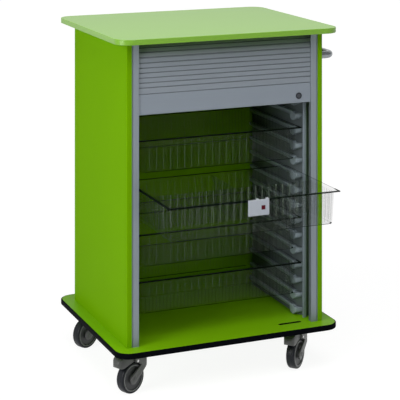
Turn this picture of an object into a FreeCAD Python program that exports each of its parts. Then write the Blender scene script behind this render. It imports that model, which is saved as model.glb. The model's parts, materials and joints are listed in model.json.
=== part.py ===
import FreeCAD, Part
import math
import os

# Mobile tray cabinet with a roller shutter.  Millimetres, +Z up, front towards -Y.
# The origin is on the floor, under the middle of the whole object as it stands at rest.  The
# shapes are made about the cabinet's own middle plane and moved to the origin when they are saved.

V = FreeCAD.Vector
UP = V(0, 0, 1)
ALONG_X = V(1, 0, 0)
ALONG_Y = V(0, 1, 0)

# ---------------------------------------------------------------- driving dimensions
BOARD = 18.0                 # every board
BODY_W = 705.0               # outside the side panels
BODY_D = 539.0
SIDE_H = 980.0               # side panel height
OVERHANG_SIDE = 44.5         # top and base panels past the body
OVERHANG_FRONT = 53.0
OVERHANG_BACK = 63.0
CORNER_R = 50.0              # plan corners of the top and base panels
EDGE_R = 1.5                 # eased edges of the top panel
CASTOR_H = 136.0             # floor to the underside of the base panel
BUMPER = 4.0                 # thickness of the band round the base panel

TRAY_W = 600.0               # over the lip
TRAY_D = 400.0
TRAY_H = 110.0
TRAY_WALL = 2.5
LIP_W = 14.0
LIP_T = 3.0
TRAY_DRAFT = 5.0             # how far the foot of a wall stands in from its top
TRAY_SETBACK = 50.0          # closed tray's front lip behind the body's front
PULL = 281.0                 # how far the second tray is out
TRAY_LEDGES = (12, 9, 6, 3)  # ledge that carries each tray, from the top tray down
OPEN_TRAY = 2

LEDGE_PITCH = 51.2
LEDGE_FIRST = 33.0           # first ledge above the base panel
LEDGE_COUNT = 18
RACK_REACH = 45.0            # ledge edge from the side panel's inner face
RACK_WALL_X = 32.0           # rack wall from the side panel's inner face
RACK_T = 3.0
FLANGE_W = 20.0              # rack's front flange
RIB_X = (17.0, 30.0)         # rack's front rib, from the side panel's inner face
RIB_FRONT = 49.0             # rib's front behind the body's front
RACK_FRONT = 64.0            # flange's front behind the body's front
BLOCK_FRONT = 8.0            # ledge's front block behind the flange's front
BLOCK_D = 50.0               # and its length, front to back
BLOCK_SLANT = 4.0            # its inner corner stands back by this
BLOCK_NOSE = 13.0            # height of its front
BLOCK_H = 26.0               # its whole height
RACK_REAR = 456.0
RACK_H = LEDGE_FIRST + (LEDGE_COUNT - 1) * LEDGE_PITCH + 16.0

PROFILE_W = 24.0             # guide profile, seen from the front
PROFILE_T = 4.0              # its front wall
GROOVE = 10.0                # its groove, front to back
PROFILE_REAR = 2.6
JOINT_LINE = 3.0             # groove in the front wall beside the side panel
SLAT_T = 8.0
SLAT_PITCH = 16.06
SLAT_H = 15.4                # outer face of a slat
SLAT_INNER_H = 13.6
SLAT_CHAMFER = 1.2
SLAT_INTO_GROOVE = 12.0
BEND_R = 54.0                # curtain's centre line round each bend
TOP_RUN_DROP = 12.0          # curtain's centre line below the top panel
CURTAIN_REAR = 500.0         # centre line of the rear run behind the body's front
TRACK_W = 16.0
TRACK_T = 3.0
STORED_SLATS = 46
HANGING_SLATS = 6
RAIL_H = 66.2
RAIL_T = 20.0
RAIL_WALL = 2.0
RAIL_GAP = 1.0               # rail end to guide profile
FIRST_SLAT_LIFT = 4.84       # the slat on the rail is taller by this
CURTAIN_PHASE = 2.3          # highest joint of the hanging slats below the start of the bend
FEED_T = 2.0
FEED_H = 90.0

INNER_BACK_FRONT = 466.0     # behind the body's front
INNER_BACK_T = 12.0
INNER_BACK_H = 930.0
BOLT_BACK = 18.0             # bolt and slot behind the body's front
SLOT_L = 80.0
SLOT_W = 8.0
SLOT_DEEP = 14.5
SLOT_X = 238.5               # slot centre from the middle
LOCK_X = 265.5
LOCK_UP = 24.0               # above the rail's lower edge
LOCK_R = 9.0
CRANK = 5.0                  # crank pin beside and above the plug's axis

HANDLE_R = 13.0
HANDLE_REACH = 56.5          # past the side panel
HANDLE_BEND = 24.0
HANDLE_FRONT = 17.0          # front leg behind the body's front
HANDLE_LENGTH = 320.0        # between the legs
HANDLE_Z = 1053.0

CASTOR_INSET_X = 105.0       # swivel axis from the base panel's side edges
CASTOR_INSET_Y = 100.0       # and from its front and rear edges
# how far each castor has turned to the left of straight back, in degrees
CASTOR_TURNS = {"front_left": 25.0, "front_right": 41.4, "rear_left": 25.0, "rear_right": 25.0}
TRAIL = 42.0                 # axle behind the swivel axis
WHEEL_R = 50.0
TREAD_HALF = 15.0
FORK_IN = 17.0               # inner faces of the fork's arms
FORK_OUT = 23.0
FORK_TOP = 132.2
KINGPIN_R = 6.0
AXLE_R = 4.0
RUNNING = 0.06               # radial clearance of a turning fit
PEDAL_PIN_S = 30.0           # pedal pivot behind the swivel axis
PEDAL_PIN_Z = 104.5
PEDAL_REACH = 110.0
PEDAL_HALF = 19.0            # half its width

LABEL_W = 72.6
LABEL_H = 50.4
LABEL_T = 1.6
LABEL_X = 6.5                # label centre from the middle
HOOKS_X = (0.0, 33.8)        # left edges of its two hooks
HOOK_W = 8.0
CARD_T = 0.6

# ---------------------------------------------------------------- derived places
PANEL_W = BODY_W + 2 * OVERHANG_SIDE
PANEL_D = BODY_D + OVERHANG_FRONT + OVERHANG_BACK
LABEL_STACK = LABEL_T + CARD_T
ORIGIN_X = (BODY_W / 2 + HANDLE_REACH - PANEL_W / 2) / 2    # the handle sticks out on the right only
FRONT_REACH = PULL - TRAY_SETBACK + LABEL_STACK
REAR_REACH = BODY_D + OVERHANG_BACK
FRONT = (FRONT_REACH - REAR_REACH) / 2      # Y of the body's front face
BASE_TOP = CASTOR_H + BOARD
SIDE_TOP = BASE_TOP + SIDE_H
HALF_W = BODY_W / 2
INNER_X = HALF_W - BOARD                    # side panels' inner faces
PANEL_BACK = FRONT + BODY_D + OVERHANG_BACK
PANEL_FRONT = FRONT - OVERHANG_FRONT
CURTAIN_Y = FRONT + PROFILE_T + GROOVE / 2  # centre line of the hanging curtain
RUN_Z = SIDE_TOP - TOP_RUN_DROP
BEND_Z = RUN_Z - BEND_R                     # where the guides begin to bend
REAR_Y = FRONT + CURTAIN_REAR
SLAT_HALF_L = INNER_X - PROFILE_W + SLAT_INTO_GROOVE
HANGING_TOP = BEND_Z - CURTAIN_PHASE
RAIL_TOP = HANGING_TOP - HANGING_SLATS * SLAT_PITCH - FIRST_SLAT_LIFT
RAIL_BOTTOM = RAIL_TOP - RAIL_H
RAIL_FRONT = FRONT + PROFILE_T
RAIL_HALF_L = INNER_X - PROFILE_W - RAIL_GAP


# ---------------------------------------------------------------- helpers
def box(x0, x1, y0, y1, z0, z1):
    """Block between two corners."""
    return Part.makeBox(x1 - x0, y1 - y0, z1 - z0, V(x0, y0, z0))


def rounded_rectangle(x0, x1, y0, y1, radius, z):
    """Closed wire in a level plane with four round corners."""
    c = radius * (1 - math.sqrt(0.5))
    p = [V(x0 + radius, y0, z), V(x1 - radius, y0, z), V(x1, y0 + radius, z),
         V(x1, y1 - radius, z), V(x1 - radius, y1, z), V(x0 + radius, y1, z),
         V(x0, y1 - radius, z), V(x0, y0 + radius, z)]
    mid = [V(x1 - c, y0 + c, z), V(x1 - c, y1 - c, z), V(x0 + c, y1 - c, z), V(x0 + c, y0 + c, z)]
    edges = []
    for i in range(4):
        edges.append(Part.LineSegment(p[2 * i], p[2 * i + 1]).toShape())
        edges.append(Part.Arc(p[2 * i + 1], mid[i], p[(2 * i + 2) % 8]).toShape())
    return Part.Wire(edges)


def slab(x0, x1, y0, y1, radius, z0, z1):
    """Rounded-corner plate."""
    return Part.Face(rounded_rectangle(x0, x1, y0, y1, radius, z0)).extrude(V(0, 0, z1 - z0))


def prism(points, direction):
    """Extruded polygon."""
    wire = Part.makePolygon(points + [points[0]])
    return Part.Face(wire).extrude(direction)


def rod(radius, start, end):
    """Round bar between two points."""
    way = end - start
    return Part.makeCylinder(radius, way.Length, start, way)


def fuse(shapes):
    """One solid from several that touch."""
    return shapes[0].multiFuse(shapes[1:]).removeSplitter()


def save(name, shapes):
    """Write one node, moved from the cabinet's middle plane to the origin; several solids stay separate."""
    shape = shapes.copy() if isinstance(shapes, Part.Shape) else Part.makeCompound(shapes)
    shape.translate(V(-ORIGIN_X, 0, 0))
    for solid in shape.Solids:
        if not solid.isValid():
            print("not valid:", name)
    shape.exportStep("parts/" + name + ".step")
    b = shape.BoundBox
    print("%-22s %2d  %8.1f %8.1f %8.1f  %8.1f %8.1f %8.1f" % (
        name, len(shape.Solids), b.XMin, b.YMin, b.ZMin, b.XMax, b.YMax, b.ZMax))


# ---------------------------------------------------------------- boards
def dowel_places():
    """Foot and head of every panel dowel: along both side panels, at the base and the top."""
    places = []
    for side in (-1, 1):
        for back in (60.0, 270.0, 480.0):
            x = side * (HALF_W - BOARD / 2)
            places.append(V(x, FRONT + back, BASE_TOP))
            places.append(V(x, FRONT + back, SIDE_TOP))
    return places


def dowel(place, radius):
    """Dowel half in one board and half in the other."""
    reach = V(0, 0, 12.0)
    return rod(radius, place - reach, place + reach)


def drill(shape, places, radius=4.02):
    """Take the dowels' holes out of a board."""
    return shape.cut(Part.makeCompound([dowel(p, radius) for p in places]))


def top_panel():
    """Worktop with eased top and bottom edges."""
    body = slab(-PANEL_W / 2, PANEL_W / 2, PANEL_FRONT, PANEL_BACK, CORNER_R, SIDE_TOP, SIDE_TOP + BOARD)
    rim = [e for e in body.Edges if abs(e.BoundBox.ZMax - e.BoundBox.ZMin) < 0.01]
    return drill(body.makeFillet(EDGE_R, rim), dowel_places())


def castor_places():
    """Swivel axes, in the order front left, front right, rear left, rear right."""
    x = PANEL_W / 2 - CASTOR_INSET_X
    front = PANEL_FRONT + CASTOR_INSET_Y
    rear = PANEL_BACK - CASTOR_INSET_Y
    return {"front_left": (-x, front), "front_right": (x, front),
            "rear_left": (-x, rear), "rear_right": (x, rear)}


def screw_places():
    """Four screws round each castor's kingpin."""
    places = []
    for x, y in castor_places().values():
        for dx in (-28.0, 28.0):
            for dy in (-28.0, 28.0):
                places.append((x + dx, y + dy))
    return places


def base_panel():
    """Board inside the bumper band, with the bolt's slot and blind holes for the castor screws."""
    half = PANEL_W / 2 - BUMPER
    body = slab(-half, half, PANEL_FRONT + BUMPER, PANEL_BACK - BUMPER, CORNER_R - BUMPER, CASTOR_H, BASE_TOP)
    y = FRONT + BOLT_BACK
    slot = slab(SLOT_X - SLOT_L / 2, SLOT_X + SLOT_L / 2, y - SLOT_W / 2, y + SLOT_W / 2, SLOT_W / 2 - 0.1,
                BASE_TOP - SLOT_DEEP, BASE_TOP + 1)
    holes = [rod(3.05, V(x, y, CASTOR_H - 1), V(x, y, CASTOR_H + 13)) for x, y in screw_places()]
    return drill(body.cut(slot).cut(Part.makeCompound(holes)), dowel_places())


def base_bumper():
    """Band round the base panel, flush with it above and below, outer edges rounded."""
    half = PANEL_W / 2
    outer = slab(-half, half, PANEL_FRONT, PANEL_BACK, CORNER_R, CASTOR_H, BASE_TOP)
    rim = [e for e in outer.Edges if abs(e.BoundBox.ZMax - e.BoundBox.ZMin) < 0.01]
    outer = outer.makeFillet(3.0, rim)
    inner = half - BUMPER
    core = slab(-inner, inner, PANEL_FRONT + BUMPER, PANEL_BACK - BUMPER, CORNER_R - BUMPER,
                CASTOR_H - 1, BASE_TOP + 1)
    return outer.cut(core)


def side_panel(side):
    """Upright board; the right one is drilled for the handle's screws."""
    x0, x1 = sorted((side * INNER_X, side * HALF_W))
    body = box(x0, x1, FRONT, FRONT + BODY_D, BASE_TOP, SIDE_TOP)
    front_edges = [e for e in body.Edges
                   if abs(e.BoundBox.YMax - FRONT) < 0.01 and e.BoundBox.ZMax - e.BoundBox.ZMin > 10]
    body = drill(body.makeFillet(EDGE_R, front_edges), dowel_places())
    if side > 0:
        holes = [rod(3.2, V(INNER_X - 1, y, HANDLE_Z), V(HALF_W + 1, y, HANDLE_Z)) for y in handle_legs()]
        sinks = [Part.makeCone(6.4, 3.1, 3.3, V(INNER_X - 0.1, y, HANDLE_Z), ALONG_X) for y in handle_legs()]
        body = body.cut(Part.makeCompound(holes)).cut(Part.makeCompound(sinks))
    return body


def inner_back_panel():
    """Board behind the trays; the curtain rolls down behind it."""
    y = FRONT + INNER_BACK_FRONT
    return box(-INNER_X, INNER_X, y, y + INNER_BACK_T, BASE_TOP, BASE_TOP + INNER_BACK_H)


def back_panel():
    """Outer back board between the side panels."""
    return box(-INNER_X, INNER_X, FRONT + BODY_D - BOARD, FRONT + BODY_D, BASE_TOP, SIDE_TOP)


# ---------------------------------------------------------------- shutter guides
def guide_profile(side):
    """Upright channel: a front wall, a web on the side panel and a rear wall that ends at the bend."""
    def across(a, b, y0, y1, z1):
        x0, x1 = sorted((side * (INNER_X - a), side * (INNER_X - b)))
        return box(x0, x1, FRONT + y0, FRONT + y1, BASE_TOP, z1)
    groove_end = PROFILE_T + GROOVE
    front = across(0, PROFILE_W, 0, PROFILE_T, SIDE_TOP)
    web = across(0, 2.5, PROFILE_T, groove_end + PROFILE_REAR, BEND_Z)
    rear = across(0, PROFILE_W, groove_end, groove_end + PROFILE_REAR, BEND_Z)
    body = fuse([front, web, rear]).cut(across(0.8, 0.8 + JOINT_LINE, -1, PROFILE_T - 0.8, SIDE_TOP + 1))
    front_lip = [e for e in body.Edges if abs(e.BoundBox.YMax - FRONT) < 0.01
                 and abs(e.BoundBox.XMin - side * (INNER_X - PROFILE_W)) < 0.01
                 and e.BoundBox.ZMax - e.BoundBox.ZMin > 10]
    return body.makeFillet(1.0, front_lip)


def route_band(inner, outer, x0, width, rear_end):
    """Band between two offsets of the curtain's line: up, over the first bend, back, down.

    An offset is counted away from the centre of the bends.
    """
    def line(offset):
        radius = BEND_R + offset
        first = V(x0, CURTAIN_Y + BEND_R, BEND_Z)
        second = V(x0, REAR_Y - BEND_R, BEND_Z)
        diagonal = radius * math.sqrt(0.5)
        return [V(x0, CURTAIN_Y - offset, BEND_Z),
                first + V(0, -diagonal, diagonal), first + V(0, 0, radius),
                second + V(0, 0, radius), second + V(0, diagonal, diagonal),
                V(x0, REAR_Y + offset, BEND_Z), V(x0, REAR_Y + offset, rear_end)]

    def edges(p):
        return [Part.Arc(p[0], p[1], p[2]).toShape(), Part.LineSegment(p[2], p[3]).toShape(),
                Part.Arc(p[3], p[4], p[5]).toShape(), Part.LineSegment(p[5], p[6]).toShape()]

    a = line(outer)
    b = line(inner)
    wire = Part.Wire(edges(a) + [Part.LineSegment(a[6], b[6]).toShape()]
                     + list(reversed(edges(b))) + [Part.LineSegment(b[0], a[0]).toShape()])
    return Part.Face(wire).extrude(V(width, 0, 0))


def curtain_track(side):
    """Curved channel that takes the slats' ends from the guide profile, over the top and down the back."""
    half = GROOVE / 2 + 0.2
    rear_end = BASE_TOP + 640.0
    x_far = INNER_X - TRACK_W
    x0 = x_far if side > 0 else -INNER_X
    outer = route_band(half, half + TRACK_T, x0, TRACK_W, rear_end)
    inner = route_band(-half - TRACK_T, -half, x0, TRACK_W, rear_end)
    x_web = INNER_X - 2.5 if side > 0 else -INNER_X
    web = route_band(-half, half, x_web, 2.5, rear_end)
    body = fuse([outer, inner, web])
    return body.cut(box(-HALF_W, HALF_W, FRONT - 1, FRONT + PROFILE_T + 0.05, BASE_TOP, SIDE_TOP))


def slat_at(y, z, angle, height=SLAT_H):
    """One slat: a chamfered board, outer face longer than the inner one, turned about X."""
    outer = height / 2
    inner = outer - (SLAT_H - SLAT_INNER_H) / 2
    t = SLAT_T / 2
    c = SLAT_CHAMFER
    section = [V(-SLAT_HALF_L, -t, -outer + c), V(-SLAT_HALF_L, -t + c, -outer), V(-SLAT_HALF_L, t, -inner),
               V(-SLAT_HALF_L, t, inner), V(-SLAT_HALF_L, -t + c, outer), V(-SLAT_HALF_L, -t, outer - c)]
    slat = prism(section, V(2 * SLAT_HALF_L, 0, 0))
    slat.rotate(V(0, 0, 0), ALONG_X, -angle)
    slat.translate(V(0, y, z))
    return slat


def route_point(s):
    """Place and turn of the curtain's line at a length s past the highest hanging joint."""
    s -= CURTAIN_PHASE
    arc = BEND_R * math.pi / 2
    run = (REAR_Y - BEND_R) - (CURTAIN_Y + BEND_R)
    if s < arc:
        a = s / BEND_R
        return CURTAIN_Y + BEND_R * (1 - math.cos(a)), BEND_Z + BEND_R * math.sin(a), math.degrees(a)
    if s < arc + run:
        return CURTAIN_Y + BEND_R + s - arc, RUN_Z, 90.0
    if s < 2 * arc + run:
        a = (s - arc - run) / BEND_R
        return REAR_Y - BEND_R * (1 - math.sin(a)), BEND_Z + BEND_R * math.cos(a), 90.0 + math.degrees(a)
    return REAR_Y, BEND_Z - (s - 2 * arc - run), 180.0


def stored_slats():
    """The part of the curtain that is rolled away."""
    return [slat_at(*route_point((i + 0.5) * SLAT_PITCH)) for i in range(STORED_SLATS)]


# ---------------------------------------------------------------- shutter
def shutter_slats():
    """Slats that hang above the rail; the lowest is taller, because it holds the rail's hook."""
    slats = []
    for i in range(HANGING_SLATS - 1):
        slats.append(slat_at(CURTAIN_Y, HANGING_TOP - (i + 0.5) * SLAT_PITCH, 0))
    lift = FIRST_SLAT_LIFT
    z = RAIL_TOP + (SLAT_PITCH + lift) / 2
    slats.append(slat_at(CURTAIN_Y, z, 0, SLAT_H + lift - 0.4))
    return slats


def shutter_feed():
    """Curtain that follows from the bend as the shutter comes down, gathered behind the slats."""
    half = RAIL_HALF_L - 4
    y = CURTAIN_Y + SLAT_T / 2 + 0.5
    return box(-half, half, y, y + FEED_T, HANGING_TOP - FEED_H, HANGING_TOP)


def shutter_rail():
    """Hollow end rail with tongues that run in the grooves, a slot below for the bolt and the lock's hole."""
    body = box(-RAIL_HALF_L, RAIL_HALF_L, RAIL_FRONT, RAIL_FRONT + RAIL_T, RAIL_BOTTOM, RAIL_TOP)
    long_edges = [e for e in body.Edges if e.BoundBox.XMax - e.BoundBox.XMin > 10]
    body = body.makeFillet(2.0, long_edges)
    w = RAIL_WALL
    hollow = box(-RAIL_HALF_L + w, RAIL_HALF_L - w, RAIL_FRONT + w, RAIL_FRONT + RAIL_T - w,
                 RAIL_BOTTOM + w, RAIL_TOP - w)
    tongues = []
    for side in (-1, 1):
        x0, x1 = sorted((side * RAIL_HALF_L, side * SLAT_HALF_L))
        t = SLAT_T / 2
        tongues.append(box(x0, x1, CURTAIN_Y - t, CURTAIN_Y + t, RAIL_BOTTOM, RAIL_TOP))
    body = fuse([body.cut(hollow)] + tongues)
    mouth = box(SLOT_X - 33, SLOT_X + 33, FRONT + BOLT_BACK - 2.2, FRONT + BOLT_BACK + 2.2,
                RAIL_BOTTOM - 1, RAIL_BOTTOM + w + 1)
    z = RAIL_BOTTOM + LOCK_UP
    hole = rod(LOCK_R + 0.05, V(LOCK_X, RAIL_FRONT - 1, z), V(LOCK_X, RAIL_FRONT + w + 1, z))
    return body.cut(mouth).cut(hole)


def lock_barrel():
    """Fixed shell of the lock, flanged on the rail's front wall, bored for the plug."""
    z = RAIL_BOTTOM + LOCK_UP
    flange = rod(LOCK_R + 2, V(LOCK_X, RAIL_FRONT - 1.5, z), V(LOCK_X, RAIL_FRONT, z))
    shell = rod(LOCK_R, V(LOCK_X, RAIL_FRONT, z), V(LOCK_X, RAIL_FRONT + 9, z))
    bore = rod(6.5 + RUNNING, V(LOCK_X, RAIL_FRONT - 2, z), V(LOCK_X, RAIL_FRONT + 10, z))
    return fuse([flange, shell]).cut(bore)


def lock_plug():
    """The part that a key turns: a round plug with a keyway, and a crank whose pin moves the bolt."""
    z = RAIL_BOTTOM + LOCK_UP
    plug = rod(6.5, V(LOCK_X, RAIL_FRONT - 1.2, z), V(LOCK_X, RAIL_FRONT + 9.3, z))
    keyway = box(LOCK_X - 0.9, LOCK_X + 0.9, RAIL_FRONT - 2, RAIL_FRONT + 6, z - 4.5, z + 4.5)
    arm_y = RAIL_FRONT + 9.3
    pin = V(LOCK_X - CRANK, arm_y, z + CRANK)
    arm = [V(LOCK_X - 3, arm_y, z - 3), V(LOCK_X + 3, arm_y, z + 3),
           V(pin.x + 3, arm_y, pin.z + 2.4), V(pin.x - 2.4, arm_y, pin.z - 3)]
    lever = prism(arm, V(0, 1.5, 0))
    return fuse([plug.cut(keyway), lever, rod(1.5, pin, pin + V(0, 6.0, 0))])


def lock_bolt():
    """Flat bolt inside the rail with two legs that drop into the base panel's slot."""
    y0 = FRONT + BOLT_BACK - 2.0
    y1 = FRONT + BOLT_BACK + 2.0
    x0 = SLOT_X - 32
    x1 = SLOT_X + 32
    z0 = RAIL_BOTTOM + 1.0
    bar = box(x0, x1, y0, y1, z0 + 8, z0 + 36)
    legs = [box(x0, x0 + 14, y0, y1, z0, z0 + 8), box(x1 - 14, x1, y0, y1, z0, z0 + 8)]
    pin_x = LOCK_X - CRANK
    pin_z = RAIL_BOTTOM + LOCK_UP + CRANK
    slot = box(pin_x - 4.4, pin_x + 2.2, y0 - 1, y1 + 1, pin_z - 1.9, pin_z + 1.9)
    return fuse([bar] + legs).cut(slot)


# ---------------------------------------------------------------- tray racks
def rack_section(side, inside):
    """Outline of the rack's folded wall in plan, kept a sheet's thickness inside it if asked."""
    f = FRONT + RACK_FRONT
    r = FRONT + RACK_REAR
    t = RACK_T if inside else 0.0
    end = 1.0 if inside else 0.0
    turn = 0.4 * t
    corners = [(-end, f + t), (FLANGE_W - t, f + t), (FLANGE_W - t, f + 14 + turn),
               (RACK_WALL_X - t, f + 30 + turn), (RACK_WALL_X - t, r - t), (-end, r - t)]
    return [(side * (INNER_X - a), y) for a, y in corners]


def rack_solid(side, inside):
    """The section of the rack over its whole height."""
    points = [V(x, y, BASE_TOP) for x, y in rack_section(side, inside)]
    return prism(points, V(0, 0, RACK_H))


def rack_rib(side):
    """Angle that stands forward from the front flange: a web and a narrow front face."""
    near, far = RIB_X
    y = FRONT + RIB_FRONT
    web_x = sorted((side * (INNER_X - near), side * (INNER_X - FLANGE_W)))
    face_x = sorted((side * (INNER_X - near), side * (INNER_X - far)))
    web = box(web_x[0], web_x[1], y, FRONT + RACK_FRONT + 1, BASE_TOP, BASE_TOP + RACK_H)
    return [web, box(face_x[0], face_x[1], y, y + RACK_T, BASE_TOP, BASE_TOP + RACK_H)]


def rack(side):
    """Folded wall: a front flange with its rib, a slanted step, the wall and a rear flange."""
    return fuse([rack_solid(side, False).cut(rack_solid(side, True))] + rack_rib(side))


def ledge(side, number, channel):
    """Ledge under a tray's lip.

    Its front end is a deep lobe that stands a little lower than the ledge, so a tray is lifted over
    it.  The lobe's nose slants in plan, and its underside falls to the rear and then rounds up.
    """
    f = FRONT + RACK_FRONT
    r = FRONT + RACK_REAR
    x_wall = side * (INNER_X - RACK_WALL_X)
    x_edge = side * (INNER_X - RACK_REACH)
    x_in = side * (INNER_X - FLANGE_W)
    top = BASE_TOP + LEDGE_FIRST + number * LEDGE_PITCH - 0.4
    strip = prism([V(x_wall, f + 30, top), V(x_edge, f + 30, top), V(x_edge, f + 30, top - 8),
                   V(x_wall, f + 30, top - 20)], V(0, r - f - 34, 0))
    low = top - 5.2
    foot = low - BLOCK_H
    front = f + BLOCK_FRONT
    rear = front + BLOCK_D
    round_r = 17.0
    q = round_r * (1 - math.sqrt(0.5))
    nose = V(x_in, front, low - BLOCK_NOSE)
    belly = V(x_in, front + 25, foot)
    turn = V(x_in, rear - round_r, foot)
    heel = V(x_in, rear, foot + round_r)
    edges = [Part.LineSegment(V(x_in, front, low), nose).toShape(),
             Part.LineSegment(nose, belly).toShape(),
             Part.LineSegment(belly, turn).toShape(),
             Part.Arc(turn, V(x_in, rear - q, foot + q), heel).toShape(),
             Part.LineSegment(heel, V(x_in, rear, low)).toShape(),
             Part.LineSegment(V(x_in, rear, low), V(x_in, front, low)).toShape()]
    block = Part.Face(Part.Wire(edges)).extrude(V(x_edge - x_in, 0, 0))
    plan = prism([V(x_in, front, foot - 1), V(x_edge, front + BLOCK_SLANT, foot - 1),
                  V(x_edge, rear + 1, foot - 1), V(x_in, rear + 1, foot - 1)], V(0, 0, BLOCK_H + 2))
    return fuse([strip, block.common(plan)]).cut(channel)


def ledges(side):
    """All ledges of one rack."""
    channel = rack_solid(side, False)
    return [ledge(side, i, channel) for i in range(LEDGE_COUNT)]


# ---------------------------------------------------------------- trays
def tray_top(number):
    """Height of a tray's rim."""
    return BASE_TOP + LEDGE_FIRST + TRAY_LEDGES[number - 1] * LEDGE_PITCH + LIP_T


def tray_front(number):
    """Y of a tray's front lip at rest."""
    return FRONT + TRAY_SETBACK - (PULL if number == OPEN_TRAY else 0)


def tray(number):
    """Thin drafted tub with a flat lip all round."""
    z = tray_top(number)
    y = tray_front(number)

    def ring(inset, radius, level):
        half = TRAY_W / 2 - inset
        return rounded_rectangle(-half, half, y + inset, y + TRAY_D - inset, radius, level)

    foot = LIP_W + TRAY_DRAFT
    outer = Part.makeLoft([ring(LIP_W, 9, z), ring(foot, 8, z - TRAY_H)], True, True)
    t = TRAY_WALL
    slope = TRAY_DRAFT / TRAY_H
    over = 1.0
    inner = Part.makeLoft([ring(LIP_W + t - over * slope, 7, z + over),
                           ring(foot + t - t * slope, 6, z - TRAY_H + t)], True, True)
    lip = Part.Face(ring(0, 4, z - LIP_T)).extrude(V(0, 0, LIP_T))
    return fuse([outer, lip]).cut(inner)


def cross_divider():
    """Wall across the open tray, a little behind its middle."""
    z = tray_top(OPEN_TRAY)
    y = tray_front(OPEN_TRAY) + 171.0
    floor = z - TRAY_H + TRAY_WALL + 0.3
    top_half = TRAY_W / 2 - LIP_W - TRAY_WALL - 0.6
    foot_half = top_half - TRAY_DRAFT * 0.97
    wall = [V(-foot_half, y, floor), V(foot_half, y, floor), V(top_half, y, z - 2), V(-top_half, y, z - 2)]
    return prism(wall, V(0, 3.0, 0))


def length_divider():
    """Wall from the cross divider to the open tray's rear wall."""
    z = tray_top(OPEN_TRAY)
    y0 = tray_front(OPEN_TRAY) + 174.3
    y1 = tray_front(OPEN_TRAY) + TRAY_D - LIP_W - TRAY_WALL - 0.6
    floor = z - TRAY_H + TRAY_WALL + 0.3
    wall = [V(3.0, y0, floor), V(3.0, y1 - TRAY_DRAFT * 0.97, floor), V(3.0, y1, z - 2), V(3.0, y0, z - 2)]
    return prism(wall, V(3.0, 0, 0))


def label_holder():
    """Plate in front of the open tray's lip, held by two clips that reach over and under the lip."""
    z = tray_top(OPEN_TRAY)
    y = tray_front(OPEN_TRAY)
    plate = box(LABEL_X - LABEL_W / 2, LABEL_X + LABEL_W / 2, y - LABEL_T, y, z - LABEL_H + 0.6, z + 0.6)
    hooks = []
    for x in HOOKS_X:
        hooks.append(box(x, x + HOOK_W, y - LABEL_T, y + 9.0, z + 0.1, z + 1.8))
        hooks.append(box(x, x + HOOK_W, y - LABEL_T, y + 7.0, z - LIP_T - 1.8, z - LIP_T - 0.1))
    return fuse([plate] + hooks)


def label_card():
    """Blank card on the plate."""
    z = tray_top(OPEN_TRAY)
    y = tray_front(OPEN_TRAY) - LABEL_T
    return box(LABEL_X - LABEL_W / 2 + 2, LABEL_X + LABEL_W / 2 - 2, y - CARD_T, y, z - LABEL_H + 2.6, z - 2.4)


# ---------------------------------------------------------------- push handle
def handle_legs():
    """Y of the handle's two legs."""
    return (FRONT + HANDLE_FRONT, FRONT + HANDLE_FRONT + HANDLE_LENGTH)


def push_handle():
    """Bent tube between two legs, each with a round foot on the side panel."""
    y0, y1 = handle_legs()
    x_bar = HALF_W + HANDLE_REACH - HANDLE_R
    b = HANDLE_BEND
    z = HANDLE_Z
    pieces = [rod(HANDLE_R, V(x_bar, y0 + b, z), V(x_bar, y1 - b, z))]
    for y, step in ((y0, 1), (y1, -1)):
        pieces.append(rod(HANDLE_R, V(HALF_W, y, z), V(x_bar - b, y, z)))
        pieces.append(rod(HANDLE_R + 2, V(HALF_W, y, z), V(HALF_W + 2.5, y, z)))
        bend = Part.makeTorus(b, HANDLE_R, V(x_bar - b, y + step * b, z), UP)
        near, far = sorted((y - step * 20, y + step * b))
        quarter = box(x_bar - b, x_bar + HANDLE_R + 1, near, far, z - 20, z + 20)
        pieces.append(bend.common(quarter))
    body = fuse(pieces)
    holes = [rod(3.05, V(HALF_W - 1, y, z), V(HALF_W + 20.5, y, z)) for y in (y0, y1)]
    return body.cut(Part.makeCompound(holes))


def handle_screws():
    """Countersunk screws from inside the side panel into the handle's legs."""
    screws = []
    for y in handle_legs():
        head = Part.makeCone(6.0, 3.0, 3.0, V(INNER_X + 0.2, y, HANDLE_Z), ALONG_X)
        shank = rod(3.0, V(INNER_X + 3.2, y, HANDLE_Z), V(HALF_W + 20, y, HANDLE_Z))
        screws.append(fuse([head, shank]))
    return screws


# ---------------------------------------------------------------- castors
def place_castor(shape, x, y, turn):
    """Turn a castor piece from its own frame, trailing towards -X, to its place."""
    moved = shape.copy()
    moved.rotate(V(0, 0, 0), UP, turn)
    moved.translate(V(x, y, 0))
    return moved


def castor_plate(x, y):
    """Square top plate with a kingpin, countersunk for four screws."""
    plate = slab(x - 39, x + 39, y - 39, y + 39, 8.0, CASTOR_H - 3.5, CASTOR_H)
    pin = rod(KINGPIN_R, V(x, y, 113.0), V(x, y, CASTOR_H - 3.5))
    cuts = []
    for sx, sy in screw_places():
        if abs(sx - x) < 40 and abs(sy - y) < 40:
            cuts.append(rod(3.2, V(sx, sy, CASTOR_H - 4), V(sx, sy, CASTOR_H + 1)))
            cuts.append(Part.makeCone(6.1, 3.1, 3.0, V(sx, sy, CASTOR_H - 3.51), UP))
    return fuse([plate, pin]).cut(Part.makeCompound(cuts))


def castor_screws():
    """Countersunk screws through the castor plates into the base panel."""
    screws = []
    for x, y in screw_places():
        head = Part.makeCone(6.0, 3.0, 3.0, V(x, y, CASTOR_H - 3.5), UP)
        shank = rod(3.0, V(x, y, CASTOR_H - 0.5), V(x, y, CASTOR_H + 12))
        screws.append(fuse([head, shank]))
    return screws


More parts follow.
